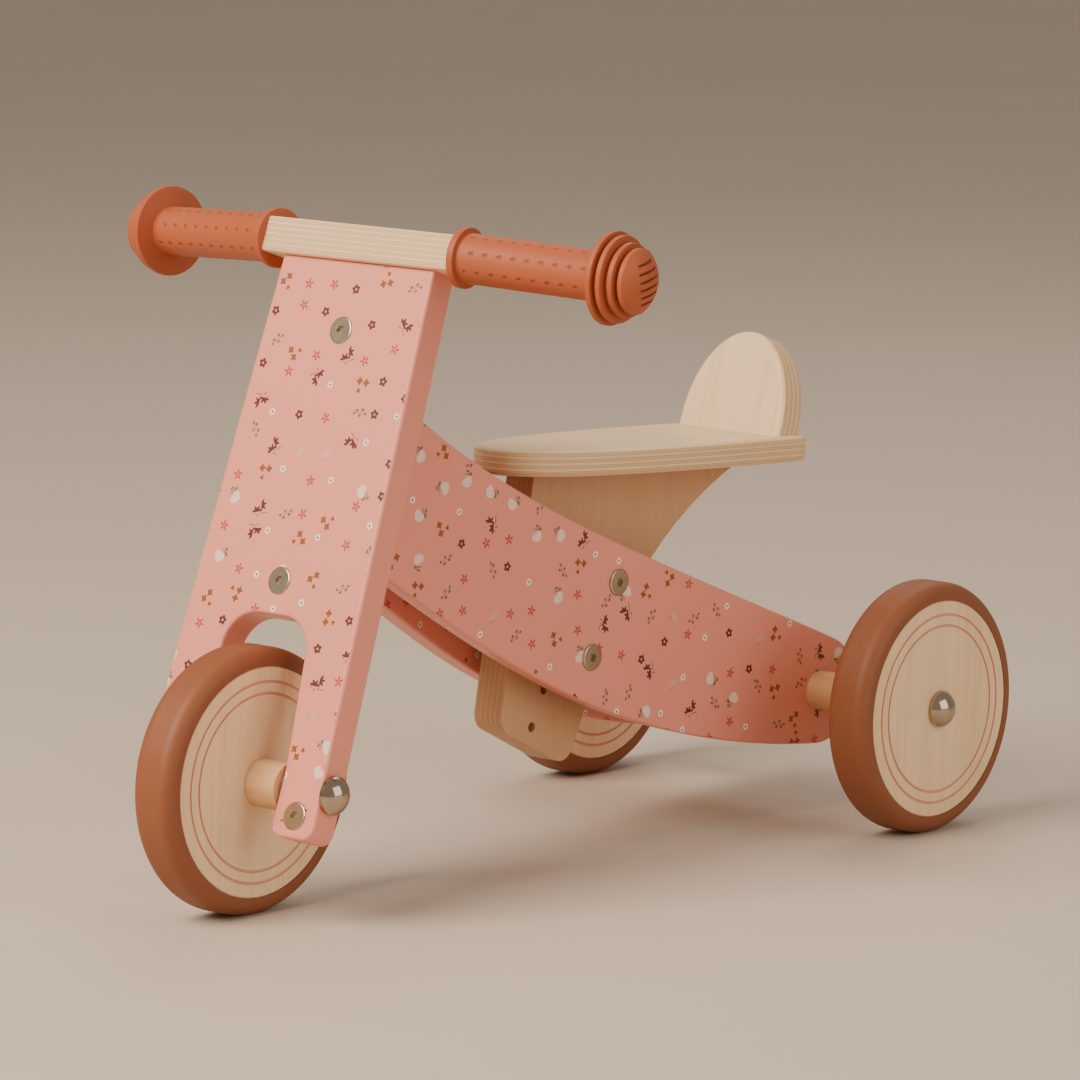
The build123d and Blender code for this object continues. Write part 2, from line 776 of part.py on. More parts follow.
def backrest_dowel(side):
    middle_y = seat_pivot_y + backrest_thickness / 2 + dowel_set_back
    start = Vector(side * backrest_dowel_spread / 2, middle_y, seat_height - seat_thickness / 2)
    return tilted(cylinder_between(start, start + Vector(0, 0, dowel_length), dowel_diameter))


def seat_wedge(side):
    """Fills the gap between the post and a board around the two bolts."""
    upper, lower = (post_hole_place(index) for index in bolted_holes)
    ends = [Vector(*side_point(*place)) for place in (upper, lower)]
    middle = (ends[0] + ends[1]) * 0.5
    slot = SlotCenterToCenter(post_bolt_spacing, 2 * wedge_radius)
    slot = Pos(middle.X, middle.Y) * Rot(0, 0, 90 - post_slant) * slot
    block = extrude(Plane.YZ * slot, rear_track_outer)
    block &= plan_band(lambda behind: post_thickness / 2, inner_half_width)
    for place in (upper, lower):
        block = drill_across(block, *place)
    return flip(block, side)


def fork_parts():
    write("fork_plate", fork_plate())
    write("handlebar", handlebar())
    for name, upper, drop in (("upper", True, upper_bolt_drop), ("lower", False, lower_bolt_drop)):
        write(f"pivot_bolt_{name}", pivot_bolt(drop))
        write(f"pivot_nut_{name}", pivot_nut(drop))
        write(f"pivot_bracket_{name}", pivot_bracket(upper))
    write("pivot_pin", pivot_pin())
    write("pivot_pin_nut", pivot_pin_nut())
    for name, side in sides():
        write(f"handlebar_screw_{name}", bar_screw(side))
        write(f"handlebar_grip_{name}", grip(side))
        write(f"leg_screw_{name}", leg_screw(side))
    front_axle_parts()


def frame_parts():
    write("head_block", head_block())
    write("head_tube", head_tube())
    write("head_dowel_upper", head_dowel(1))
    write("head_dowel_lower", head_dowel(-1))
    boards()
    rear_axle_parts()


def seat_parts():
    write("seat_post", seat_post())
    write("seat", seat())
    write("backrest", backrest())
    for name, behind in zip(("front", "rear"), seat_dowel_places()):
        write(f"seat_dowel_{name}", seat_dowel(behind))
    for name, side in sides():
        write(f"backrest_dowel_{name}", backrest_dowel(side))
        write(f"seat_wedge_{name}", seat_wedge(side))


os.makedirs("parts", exist_ok=True)
wheels()
fork_parts()
frame_parts()
seat_parts()
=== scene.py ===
import bpy
from math import cos, pi, radians, sin, sqrt
from mathutils import Matrix, Vector


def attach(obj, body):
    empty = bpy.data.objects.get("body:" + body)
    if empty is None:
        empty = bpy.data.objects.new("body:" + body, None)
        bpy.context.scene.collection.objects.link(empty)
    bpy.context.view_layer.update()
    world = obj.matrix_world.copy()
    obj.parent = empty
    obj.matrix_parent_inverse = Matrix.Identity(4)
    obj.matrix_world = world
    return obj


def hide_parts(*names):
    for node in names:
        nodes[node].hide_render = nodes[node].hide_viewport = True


# Children's wooden tricycle with a floral print, in metres. The front is -Y.

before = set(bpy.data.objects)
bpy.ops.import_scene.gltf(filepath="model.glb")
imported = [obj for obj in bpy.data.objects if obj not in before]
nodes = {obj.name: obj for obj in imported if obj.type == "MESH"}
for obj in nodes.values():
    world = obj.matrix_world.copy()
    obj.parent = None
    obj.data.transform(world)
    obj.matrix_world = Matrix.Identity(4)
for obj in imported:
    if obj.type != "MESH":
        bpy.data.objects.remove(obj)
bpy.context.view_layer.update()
bpy.ops.object.select_all(action="DESELECT")
print("frame loaded:", len(nodes), "nodes")

layout = {
    "frontAxle": (0, -0.239, 0.08),
    "rearAxle": (0, 0.239, 0.08),
    "rake": 19.8,  # degrees that the fork leans back
    "seatPivot": (0, 0.212, 0.245),  # where the backrest meets the seat
    "seatTilt": 2.64,
}
forkTurn = Matrix.Rotation(radians(90 - layout["rake"]), 3, "X")
seatTurn = Matrix.Rotation(radians(-layout["seatTilt"]), 3, "X")


def onFork(x, up, forward):
    return Vector(layout["frontAxle"]) + forkTurn @ Vector((x, up, forward))


# Camera, lights and floor

camera = {
    "azimuth": 40.41,
    "elevation": 8.79,
    "roll": 0.81,
    "distance": 3.75212,
    "lens": 204.25,
    "sensor": 36,
    "clip": 100,
    "target": (0.02854, -0.00505, 0.20043),
}
lampAim = Vector((0, 0, 0.2))
lamps = {  # azimuth, elevation, distance, size, watts, colour
    "key": (-12, 40, 3.0, 1.7, 136, (1.0, 0.87, 0.73)),
    "fill": (96, 22, 3.4, 2.6, 44, (1.0, 0.90, 0.80)),
    "back": (205, 50, 3.2, 1.8, 22, (1.0, 0.92, 0.82)),
}
air = {"colour": (0.80, 0.69, 0.58, 1), "strength": 0.48}
plaster = {"radius": 40, "colour": (0.60, 0.51, 0.42, 1), "darker": 0.97, "mottle": 3, "roughness": (0.55, 0.1)}


def fromAngles(azimuth, elevation):
    a, e = radians(azimuth), radians(elevation)
    return Vector((sin(a) * cos(e), -cos(a) * cos(e), sin(e)))


def setCamera():
    back = fromAngles(camera["azimuth"], camera["elevation"])
    right = Vector((cos(radians(camera["azimuth"])), sin(radians(camera["azimuth"])), 0))
    up = back.cross(right)
    roll = radians(camera["roll"])
    rolled = (right * cos(roll) + up * sin(roll), up * cos(roll) - right * sin(roll), back)
    turn = Matrix(rolled).transposed()
    bpy.ops.object.camera_add()
    holder = bpy.context.object
    place = Vector(camera["target"]) + back * camera["distance"]
    holder.matrix_world = Matrix.Translation(place) @ turn.to_4x4()
    holder.data.lens, holder.data.sensor_width = camera["lens"], camera["sensor"]
    holder.data.clip_end = camera["clip"]
    bpy.context.scene.camera = holder


def setLamps():
    for name, (azimuth, elevation, distance, size, watts, colour) in lamps.items():
        way = fromAngles(azimuth, elevation)
        bpy.ops.object.light_add(type="AREA", location=lampAim + way * distance)
        lamp = bpy.context.object
        lamp.name = name + "Lamp"
        lamp.rotation_euler = way.to_track_quat("Z", "Y").to_euler()
        lamp.data.size, lamp.data.energy, lamp.data.color = size, watts, colour
    world = bpy.data.worlds.new("studioAir")
    bpy.context.scene.world = world
    world.use_nodes = True
    background = world.node_tree.nodes["Background"]
    background.inputs["Color"].default_value = air["colour"]
    background.inputs["Strength"].default_value = air["strength"]


# Shader arithmetic: a Wire is one socket, and Python operators on it add Math nodes

def addNode(tree, kind, settings=None, inputs=None, output=0):
    step = tree.nodes.new(kind)
    for key, value in (settings or {}).items():
        setattr(step, key, value)
    for key, value in (inputs or {}).items():
        if isinstance(value, Wire):
            tree.links.new(value.socket, step.inputs[key])
        else:
            step.inputs[key].default_value = value
    return Wire(tree, step.outputs[output])


class Wire:
    def __init__(self, tree, socket):
        self.tree, self.socket = tree, socket

    def also(self, name):  # another output of the same node
        return Wire(self.tree, self.socket.node.outputs[name])

    def math(self, operation, *values, clamp=False):
        settings = {"operation": operation, "use_clamp": clamp}
        return addNode(self.tree, "ShaderNodeMath", settings, dict(enumerate(values)))

    def __add__(self, other): return self.math("ADD", self, other)
    def __radd__(self, other): return self.math("ADD", other, self)
    def __sub__(self, other): return self.math("SUBTRACT", self, other)
    def __rsub__(self, other): return self.math("SUBTRACT", other, self)
    def __mul__(self, other): return self.math("MULTIPLY", self, other)
    def __rmul__(self, other): return self.math("MULTIPLY", other, self)
    def __truediv__(self, other): return self.math("DIVIDE", self, other)
    def __pow__(self, other): return self.math("POWER", self, other)
    def __gt__(self, other): return self.math("GREATER_THAN", self, other)
    def __lt__(self, other): return self.math("LESS_THAN", self, other)
    def __abs__(self): return self.math("ABSOLUTE", self)
    def __and__(self, other): return self.math("MINIMUM", self, other)
    def __or__(self, other): return self.math("MAXIMUM", self, other)
    def floor(self): return self.math("FLOOR", self)
    def fract(self): return self.math("FRACT", self)
    def root(self): return self.math("SQRT", self)
    def wave(self): return self.math("COSINE", self)
    def clamped(self): return self.math("ADD", self, 0.0, clamp=True)


class Finish:
    def __init__(self, name, **constants):
        self.material = bpy.data.materials.new(name)
        self.material.use_nodes = True
        self.tree = self.material.node_tree
        self.shader = self.tree.nodes["Principled BSDF"]
        for key, value in constants.items():
            self.shader.inputs[key].default_value = value

    def node(self, kind, settings=None, inputs=None, output=0):
        return addNode(self.tree, kind, settings, inputs, output)

    def place(self, centre=(0, 0, 0), turn=Matrix.Identity(3)):
        seat = self.node("ShaderNodeTexCoord").also("Object")
        return self.node("ShaderNodeMapping", {"vector_type": "TEXTURE"}, {
            "Vector": seat, "Location": centre, "Rotation": turn.to_euler()})

    def scaled(self, place, factors):
        return self.node("ShaderNodeVectorMath", {"operation": "MULTIPLY"}, {0: place, 1: factors})

    def parts(self, place):
        x = self.node("ShaderNodeSeparateXYZ", None, {"Vector": place})
        return x, x.also("Y"), x.also("Z")

    def noise(self, place, scale=1.0, detail=3.0, roughness=0.55):
        return self.node("ShaderNodeTexNoise", None, {
            "Vector": place, "Scale": scale, "Detail": detail, "Roughness": roughness})

    def blend(self, factor, below, above):
        return self.node("ShaderNodeMix", {"data_type": "RGBA"}, {0: factor, 6: below, 7: above}, 2)

    def feed(self, **wires):
        for key, wire in wires.items():
            self.tree.links.new(wire.socket, self.shader.inputs[key.replace("_", " ")])

    def bump(self, height, distance, strength=1.0):
        relief = {"Height": height, "Distance": distance, "Strength": strength}
        self.feed(Normal=self.node("ShaderNodeBump", None, relief))

    def rough(self, wire, look):
        low, spread = look["roughness"]
        self.feed(Roughness=wire * spread + low)

    def paint(self, *names):
        for name in names:
            piece = nodes[name] if isinstance(name, str) else name
            piece.data.materials.clear()
            piece.data.materials.append(self.material)


def linear(level):  # an sRGB level as the light that a shader works in
    share = level / 255
    return share / 12.92 if share < 0.0404 else ((share + 0.055) / 1.055) ** 2.4


def tone(red, green, blue):
    return (linear(red), linear(green), linear(blue), 1)


# Floral print: one motif in each cell of a scattered grid, its kind and turn drawn from the cell

floral = {
    "cell": 0.0196,  # spacing of the motifs
    "scatter": 0.62,
    "zoom": 880,  # 1000 draws the motifs at the sizes below, in mm
    "edge": 0.14,  # softness of a motif's outline, in mm
    "faceSkin": 0.0002,  # how far below a face the print still shows
    "cloudScale": 9,
    "cloudShare": 0.35,
    "grain": (30, 420, 420),
    "roughness": (0.36, 0.12),
    "relief": (0.00006, 0.35),
    "coat": {"Coat Weight": 0.12, "Coat Roughness": 0.35},
    "pink": tone(234, 147, 128),
    "deepPink": tone(228, 140, 121),
    "white": tone(246, 230, 214),
    "seed": tone(78, 30, 30),
    "petal": tone(236, 208, 196),
    "maroon": tone(92, 26, 32),
    "coral": tone(190, 62, 60),
    "ochre": tone(146, 76, 12),
    "leaf": tone(112, 112, 84),
    "stem": tone(160, 110, 88),
    "mist": tone(208, 172, 160),
}


def covers(distance):  # 1 inside an outline, 0 outside it, with a soft edge
    return (0.5 - distance / floral["edge"]).clamped()


def oval(x, y, half, middle=(0, 0)):
    across, along = (x - middle[0]) / half[0], (y - middle[1]) / half[1]
    return covers(((across * across + along * along).root() - 1) * min(half))


def blossom(x, y, size, petals, depth, middle=(0, 0)):
    across, along = x - middle[0], y - middle[1]
    reach = (across * across + along * along).root()
    ripple = (across.math("ARCTAN2", along, across) * petals).wave() * depth
    return covers(reach - (ripple + (1 - depth)) * size)


# Each motif is a list of layers, a shape in mm with the colour it is printed in

def daisy(x, y):
    return [(blossom(x, y, 2.1, 8, 0.12), "white"), (oval(x, y, (0.6, 0.6)), "seed")]


def pansy(x, y):
    ring = blossom(x, y, 2.8, 5, 0.16) * (1 - blossom(x, y, 0.85, 5, 0.2))
    return [(ring, "maroon")]


def star(x, y):
    rays = blossom(x, y, 3.1, 5, 0.34) * (1 - oval(x, y, (0.5, 0.5)))
    return [(rays, "coral")]


def buttercups(x, y):
    pair = blossom(x, y, 2.2, 4, 0.2, (-2.6, -1.2)) | blossom(x, y, 2.2, 4, 0.2, (2.0, -2.2))
    return [(pair | blossom(x, y, 1.4, 3, 0.16, (1.9, 3.0)), "ochre")]


def snowTulip(x, y):
    cup = oval(x, y, (2.4, 3.4), (-1.4, 0)) | oval(x, y, (2.6, 2.2), (-0.2, -1.2))
    leaves = oval(x, y, (0.9, 1.3), (3.6, -1.6)) | oval(x, y, (0.8, 1.3), (4.8, 0.8))
    return [(leaves | oval(x, y, (0.35, 2.2), (3.0, 0.8)), "leaf"), (cup, "petal")]


def redTulips(x, y):
    stems = oval(x, y, (0.4, 2.6), (2.6, 2.4)) | oval(x, y, (2.4, 0.4), (0.6, -3.6))
    upper = blossom(x, y, 3.5, 7, 0.22, (-1.8, 1.0)) * (y > 0.9)
    lower = blossom(x, y, 3.5, 7, 0.22, (1.3, -1.8)) * (x < 1.4)
    return [(stems | oval(x, y, (1.0, 0.6), (3.4, -1.4)), "stem"), (upper | lower, "maroon")]


def twig(x, y):
    sides = (-0.5, 1, -1, 0.9, 0)
    dots = [oval(x, y, (0.75, 1.05), (side * 1.5, 1.9 * step - 3.8)) for step, side in enumerate(sides)]
    stalk = oval(x, y, (0.28, 4.2)) * 0.8
    berries = (dots[1] | dots[3]) * 0.8
    return [(stalk, "stem"), (dots[0] | dots[2] | dots[4], "leaf"), (berries, "maroon")]


def mistLeaf(x, y):
    return [(oval(x, y, (1.5, 3.6)) * 0.7, "mist"), (oval(x, y, (0.3, 1.9), (2.4, -2.0)) * 0.5, "leaf")]


motifs = [(daisy, 0.18), (pansy, 0.15), (star, 0.16), (buttercups, 0.11), (snowTulip, 0.12),
          (redTulips, 0.12), (twig, 0.12), (mistLeaf, 0.04)]


def scatterMotifs(finish, place, colour):
    grid = finish.node("ShaderNodeTexVoronoi", {"voronoi_dimensions": "2D"}, {
        "Vector": place, "Scale": 1 / floral["cell"], "Randomness": floral["scatter"]})
    flat = finish.scaled(place, (1, 1, 0))
    cellMiddle = grid.also("Position")
    offset = finish.node("ShaderNodeVectorMath", {"operation": "SUBTRACT"}, {0: flat, 1: cellMiddle})
    pick = finish.node("ShaderNodeSeparateColor", None, {0: grid.also("Color")})
    angle = pick.also("Green") * (2 * pi)
    turned = finish.node("ShaderNodeVectorRotate", {"rotation_type": "Z_AXIS"}, {
        "Vector": offset, "Angle": angle})
    x, y, z = finish.parts(finish.scaled(turned, (floral["zoom"], floral["zoom"], 0)))
    low = 0.0
    for motif, share in motifs:
        chosen = (pick > low) * (pick < low + share)
        for mask, name in motif(x, y):
            colour = finish.blend(mask * chosen, colour, floral[name])
        low += share
    return colour


def printedWood(name, centre, turn, halfThickness):
    finish = Finish(name, **floral["coat"])
    place = finish.place(centre, turn)
    x, y, z = finish.parts(place)
    cloud = finish.noise(place, floral["cloudScale"], 2)
    grain = finish.noise(finish.scaled(place, floral["grain"]), 1, 3)
    plain = finish.blend(cloud * floral["cloudShare"], floral["pink"], floral["deepPink"])
    colour = scatterMotifs(finish, place, plain)
    face = abs(z) > halfThickness - floral["faceSkin"]
    finish.feed(Base_Color=finish.blend(face, plain, colour))
    finish.rough(grain, floral)
    finish.bump(grain, *floral["relief"])
    return finish


fork = {"half": 0.010}
board = {"half": 0.007, "frontMiddle": 0.00911, "splay": 0.08862}

printedWood("floralFork", layout["frontAxle"], forkTurn, fork["half"]).paint("fork_plate")
for side, name in ((1, "right"), (-1, "left")):
    along = Vector((side * board["splay"], 1, 0)).normalized()
    turn = Matrix((along, Vector((0, 0, 1)), along.cross(Vector((0, 0, 1))))).transposed()
    centre = (side * board["frontMiddle"], layout["frontAxle"][1], 0)
    printedWood("floralBoard" + name.title(), centre, turn, board["half"]).paint("side_board_" + name)
print("floral print done")


# Birch plywood: the sheet lies across z, its layers show on every cut edge

birch = {
    "grain": (9, 190, 500),
    "figure": (2.5, 34, 34),
    "pores": (700, 700, 1200),
    "grainMiddle": 0.38,
    "grainShare": 1.5,
    "figureShare": 0.9,
    "glueLine": 0.44,  # distance from a layer's middle, in layers, where the glue shows
    "glueShare": 0.7,
    "paintDepth": 0.0011,
    "paintShare": 0.7,
    "roughness": (0.42, 0.18),
    "relief": (0.00008, 0.4),
    "coat": {"Coat Weight": 0.08, "Coat Roughness": 0.4},
    "face": tone(236, 206, 164),
    "streak": tone(220, 182, 134),
    "endGrain": tone(218, 180, 134),
    "glue": tone(150, 104, 66),
    # the colour below is painted shade: the shadow the seat casts on the post below it
    "seatShadowTone": tone(170, 108, 62),
}


def plywood(name, centre, turn, thickness, layers, groove=None, deep=0.0):
    finish = Finish(name, **birch["coat"])
    place = finish.place(centre, turn)
    x, y, z = finish.parts(place)
    level = (z / thickness * 0.999 + 0.5) * layers  # a little under 1 keeps both faces in the outer layers
    odd = level.floor().math("MODULO", level.floor(), 2.0)
    grain = finish.noise(finish.scaled(place, birch["grain"]), 1, 4)
    figure = finish.noise(finish.scaled(place, birch["figure"]), 1, 2)
    pores = finish.noise(finish.scaled(place, birch["pores"]), 1, 2)
    lines = (grain - birch["grainMiddle"]) * birch["grainShare"]
    streak = (lines + (figure - 0.5) * birch["figureShare"]).clamped()
    face = finish.blend(streak, birch["face"], birch["streak"])
    ends = finish.blend((pores - 0.25).clamped(), birch["endGrain"], birch["streak"])
    line = (abs(level.fract() - 0.5) > birch["glueLine"]) * (abs(z) < thickness * 0.49)
    colour = finish.blend(odd, face, ends)
    colour = finish.blend(line * birch["glueShare"], colour, birch["glue"])
    if groove:
        reach = (x * x + y * y).root()
        ring = abs(reach - groove["radii"][0]) & abs(reach - groove["radii"][1])
        painted = (ring < groove["width"] / 2) * (abs(z) > thickness / 2 - birch["paintDepth"])
        colour = finish.blend(painted * birch["paintShare"], colour, groove["colour"])
    # deep blends the whole piece toward the darker tone, a painted shadow; only the post under the seat uses it
    finish.feed(Base_Color=finish.blend(deep, colour, birch["seatShadowTone"]))
    finish.rough(grain, birch)
    finish.bump(grain, *birch["relief"])
    return finish


across = Matrix.Rotation(radians(90), 3, "Y")  # sheet seen along X
wheels = {
    "radius": 0.080, "discWidth": 0.0304, "discLayers": 11,
    "groove": {"radii": (0.060, 0.053), "width": 0.0019, "colour": tone(212, 142, 120)},
    "rearMiddle": 0.1391,
}
wheelPlaces = {
    "front_wheel": Vector(layout["frontAxle"]),
    "rear_left_wheel": Vector(layout["rearAxle"]) - Vector((wheels["rearMiddle"], 0, 0)),
    "rear_right_wheel": Vector(layout["rearAxle"]) + Vector((wheels["rearMiddle"], 0, 0)),
}
for name, middle in wheelPlaces.items():
    disc = plywood(name + "Ply", middle, across, wheels["discWidth"], wheels["discLayers"], wheels["groove"])
    disc.paint(name + "_disc")

seat = {"thickness": 0.0164, "layers": 9, "backThickness": 0.0215, "backLayers": 9, "backLean": 16.4}
# deep: how far the post is darkened by painted shadow from the seat above it
post = {"thickness": 0.022, "layers": 11, "deep": 0.6}
bar = {"thickness": 0.0218, "layers": 13, "over": 0.3146}
quarter = Matrix.Rotation(radians(90), 3, "Z")
middle = Vector(layout["seatPivot"]) - seatTurn @ Vector((0, 0, seat["thickness"] / 2))
plywood("seatPly", middle, seatTurn @ quarter, seat["thickness"], seat["layers"]).paint("seat")
backTurn = seatTurn @ Matrix.Rotation(radians(90 - seat["backLean"]), 3, "X")
middle = Vector(layout["seatPivot"]) - backTurn @ Vector((0, 0, seat["backThickness"] / 2))
back = plywood("backrestPly", middle, backTurn @ quarter, seat["backThickness"], seat["backLayers"])
back.paint("backrest")
stem = plywood("postPly", (0, 0, 0), across, post["thickness"], post["layers"], deep=post["deep"])
stem.paint("seat_post")
barTurn = forkTurn @ Matrix.Rotation(radians(-90), 3, "X")
middle = onFork(0, bar["over"] + bar["thickness"] / 2, 0)
plywood("barPly", middle, barTurn, bar["thickness"], bar["layers"]).paint("handlebar")
print("plywood done")


# Solid beech, its grain along x before the turn

beech = {
    "light": tone(224, 180, 132), "dark": tone(200, 150, 104), "fleck": tone(170, 118, 78),
    "grain": (12, 170, 170), "grainMiddle": 0.35,
    "flecks": (180, 900, 900), "fleckFrom": 0.66, "fleckShare": 0.6,
    "roughness": (0.44, 0.15), "relief": (0.00006, 0.4), "wedgeSlant": 63,
    "coat": {"Coat Weight": 0.06, "Coat Roughness": 0.4},
}


def solidBeech(name, turn=Matrix.Identity(3)):
    finish = Finish(name, **beech["coat"])
    place = finish.place((0, 0, 0), turn)
    grain = finish.noise(finish.scaled(place, beech["grain"]), 1, 4)
    flecks = finish.noise(finish.scaled(place, beech["flecks"]), 1, 1)
    streak = ((grain - beech["grainMiddle"]) * 2).clamped()
    fleck = ((flecks - beech["fleckFrom"]) * 6).clamped() * beech["fleckShare"]
    colour = finish.blend(streak, beech["light"], beech["dark"])
    finish.feed(Base_Color=finish.blend(fleck, colour, beech["fleck"]))
    finish.rough(grain, beech)
    finish.bump(grain, *beech["relief"])
    return finish


solidBeech("turnedBeech").paint(*[n for n in nodes if "spacer" in n or "crossbar" in n or "dowel" in n])
solidBeech("blockBeech", forkTurn @ quarter).paint("head_block")
wedgeTurn = Matrix.Rotation(radians(beech["wedgeSlant"]), 3, "X") @ quarter
solidBeech("wedgeBeech", wedgeTurn).paint("seat_wedge_left", "seat_wedge_right")
print("beech done")


# Metal and nylon

metals = {  # colour, least roughness, spread of roughness
    "capNut": (tone(188, 172, 152), 0.09, 0.08),
    "nickelBolt": (tone(198, 182, 160), 0.18, 0.14),
    "zinc": (tone(176, 176, 178), 0.32, 0.14),
}


wear = {"smear": 120, "scratch": (3000, 700, 700), "dullness": 0.82, "relief": (0.00002, 0.3)}


def metal(name):
    colour, rough, spread = metals[name]
    finish = Finish(name, Metallic=1.0)
    place = finish.place()
    smear = finish.noise(place, wear["smear"], 3)
    scratch = finish.noise(finish.scaled(place, wear["scratch"]), 1, 2)
    dull = finish.blend(smear, colour, tuple(wear["dullness"] * c for c in colour[:3]) + (1,))
    finish.feed(Base_Color=dull, Roughness=smear * spread + rough)
    finish.bump(scratch, *wear["relief"])
    return finish


metal("capNut").paint(*[n for n in nodes if "cap_nut" in n])
boltNodes = [n for n in nodes if n.startswith(("seat_bolt", "seat_nut", "leg_screw", "pivot_bolt"))]
metal("nickelBolt").paint(*boltNodes)
steelNames = ("front_axle", "rear_axle", "head_tube", "pivot_pin", "pivot_pin_nut")
steelStarts = ("handlebar_screw", "pivot_bracket", "pivot_nut", "front_washer")
steelNodes = [n for n in nodes if n in steelNames or n.startswith(steelStarts)]
metal("zinc").paint(*steelNodes)

nylon = {"light": tone(232, 230, 222), "dark": tone(218, 215, 205), "speck": 900, "roughness": (0.45, 0.1)}
bushFinish = Finish("nylonBush")
speck = bushFinish.noise(bushFinish.place(), nylon["speck"], 2)
bushFinish.feed(Base_Color=bushFinish.blend(speck, nylon["light"], nylon["dark"]))
bushFinish.rough(speck, nylon)
bushFinish.paint(*[n for n in nodes if "bush" in n])
print("metal done")


# Tyres: smooth moulded rubber with a fine line where the mould halves met

rubber = {
    "colour": tone(130, 74, 44), "worn": tone(140, 82, 50), "seam": tone(120, 68, 46),
    "line": 0.00022, "seamShare": 0.35, "treadDepth": 0.0025, "treadRise": 500, "cloud": 55, "skin": 2600,
    "skinShare": 0.12, "roughness": (0.48, 0.14), "relief": (0.00025, 0.5),
    "gloss": {"Specular IOR Level": 0.42},
}


def tyreRubber(name, middle):
    finish = Finish(name, **rubber["gloss"])
    place = finish.place(middle, across)
    x, y, z = finish.parts(place)
    reach = (x * x + y * y).root()
    tread = ((reach - (wheels["radius"] - rubber["treadDepth"])) * rubber["treadRise"]).clamped()
    cloud = finish.noise(place, rubber["cloud"], 3)
    skin = finish.noise(place, rubber["skin"], 2)
    seam = (1 - abs(z) / rubber["line"]).clamped() * tread
    colour = finish.blend((cloud * 0.5 + tread * 0.25).clamped(), rubber["colour"], rubber["worn"])
    finish.feed(Base_Color=finish.blend(seam * rubber["seamShare"], colour, rubber["seam"]))
    finish.rough(cloud, rubber)
    finish.bump(skin * rubber["skinShare"] + seam, *rubber["relief"])
    return finish


for name, middle in wheelPlaces.items():
    tyreRubber(name + "Rubber", middle).paint(name + "_tyre")
print("tyres done")


# Grips: a rubber sleeve drawn out ring by ring, with a slotted dome at its end

grip = {
    "barEnd": 0.073, "level": 0.3255, "ahead": 0.0022, "sweep": 7.33,
    "body": 0.030, "collar": 0.0365, "collarWidth": 0.0045, "length": 0.1036,
    "rings": (0.0553, 0.0514, 0.0440), "ringWidth": 0.0034, "ringGap": 0.0022, "grooveDepth": 0.006,
    "dome": 0.0388, "domeRim": 0.003, "domeHeight": 0.0085,
    "segments": 96, "soften": 0.0006,
    "slots": 6, "slotPitch": 0.0047, "slotWidth": 0.0016, "slotLength": 0.019, "slotDepth": 0.0024,
    "slotTurn": 32, "slotRounding": 0.4, "slotNarrowing": 1.7, "domeSteps": 13,
    "edgeAngle": 50, "smoothAngle": 35,
    # the second colour is painted shade, laid into the dimples on the sleeve
    "colour": tone(166, 82, 48), "shade": tone(110, 48, 28), "bloom": tone(178, 94, 58),
    "dimpleRows": 8, "dimplePitch": 0.0098, "dimpleHalf": (0.0013, 0.0020), "dimpleTaper": 0.45,
    "dimplesFrom": 0.0095, "dimpleStart": 0.010, "dimplesEnd": 0.004, "dimpleShare": 0.6, "dimpleRim": 1.25,
    "cloud": 90, "cloudShare": 0.6, "skin": 3500, "skinShare": 0.04,
    "roughness": (0.48, 0.12), "relief": (0.0007, 0.8), "gloss": {"Specular IOR Level": 0.35},
}


def stations():  # distance along the grip and radius, from collar to dome
    body, deep = grip["body"] / 2, grip["grooveDepth"]
    yield grip["collarWidth"], grip["collar"] / 2
    yield grip["collarWidth"], body
    yield grip["length"], body
    along = grip["length"]
    for diameter in grip["rings"]:
        yield along, diameter / 2
        along += grip["ringWidth"]
        yield along, diameter / 2
        yield along, diameter / 2 - deep
        along += grip["ringGap"]
        yield along, diameter / 2 - deep
    radius, height = grip["dome"] / 2, grip["domeHeight"]
    yield along, radius
    along += grip["domeRim"]
    yield along, radius
    ball = (radius * radius + height * height) / (2 * height)
    for step in range(1, grip["domeSteps"]):
        ring = radius * cos(step / grip["domeSteps"] * pi / 2)
        yield along + sqrt(ball * ball - ring * ring) - (ball - height), ring


def drawOut(name):
    along, radius = 0, grip["collar"] / 2
    bpy.ops.mesh.primitive_circle_add(vertices=grip["segments"], radius=radius, fill_type="NGON")
    piece = bpy.context.object
    piece.name = name
    bpy.ops.object.mode_set(mode="EDIT")
    bpy.ops.mesh.select_all(action="SELECT")
    for nextAlong, nextRadius in stations():
        bpy.ops.mesh.extrude_region_move(TRANSFORM_OT_translate={"value": (0, 0, nextAlong - along)})
        size = nextRadius / radius
        bpy.ops.transform.resize(value=(size, size, 1), center_override=(0, 0, nextAlong))
        along, radius = nextAlong, nextRadius
    bpy.ops.mesh.select_all(action="SELECT")
    bpy.ops.mesh.normals_make_consistent(inside=False)
    bpy.ops.object.mode_set(mode="OBJECT")
    return piece


def applyModifier(piece, kind, **settings):
    bpy.ops.object.select_all(action="DESELECT")
    piece.select_set(True)
    bpy.context.view_layer.objects.active = piece
    modifier = piece.modifiers.new(kind.title(), kind)
    for key, value in settings.items():
        setattr(modifier, key, value)
    bpy.ops.object.modifier_apply(modifier=modifier.name)


def slotCutter(top):
    ball = (grip["dome"] ** 2 / 4 + grip["domeHeight"] ** 2) / (2 * grip["domeHeight"])
    slots = []
    for index in range(grip["slots"]):
        x = (index - (grip["slots"] - 1) / 2) * grip["slotPitch"]
        length = grip["slotLength"] * (1 - (x / grip["dome"] * grip["slotNarrowing"]) ** 2)
        bpy.ops.object.select_all(action="DESELECT")
        height = top - ball + sqrt(ball * ball - x * x)
        bpy.ops.mesh.primitive_cube_add(size=1, location=(x, 0, height))
        slots.append(bpy.context.object)
        slots[-1].scale = (grip["slotWidth"], length, 2 * grip["slotDepth"])
        bpy.ops.object.transform_apply(location=True, rotation=False, scale=True)
        applyModifier(slots[-1], "BEVEL", width=grip["slotWidth"] * grip["slotRounding"], segments=2)
    for slot in slots:
        slot.select_set(True)
    bpy.ops.object.join()
    return bpy.context.object


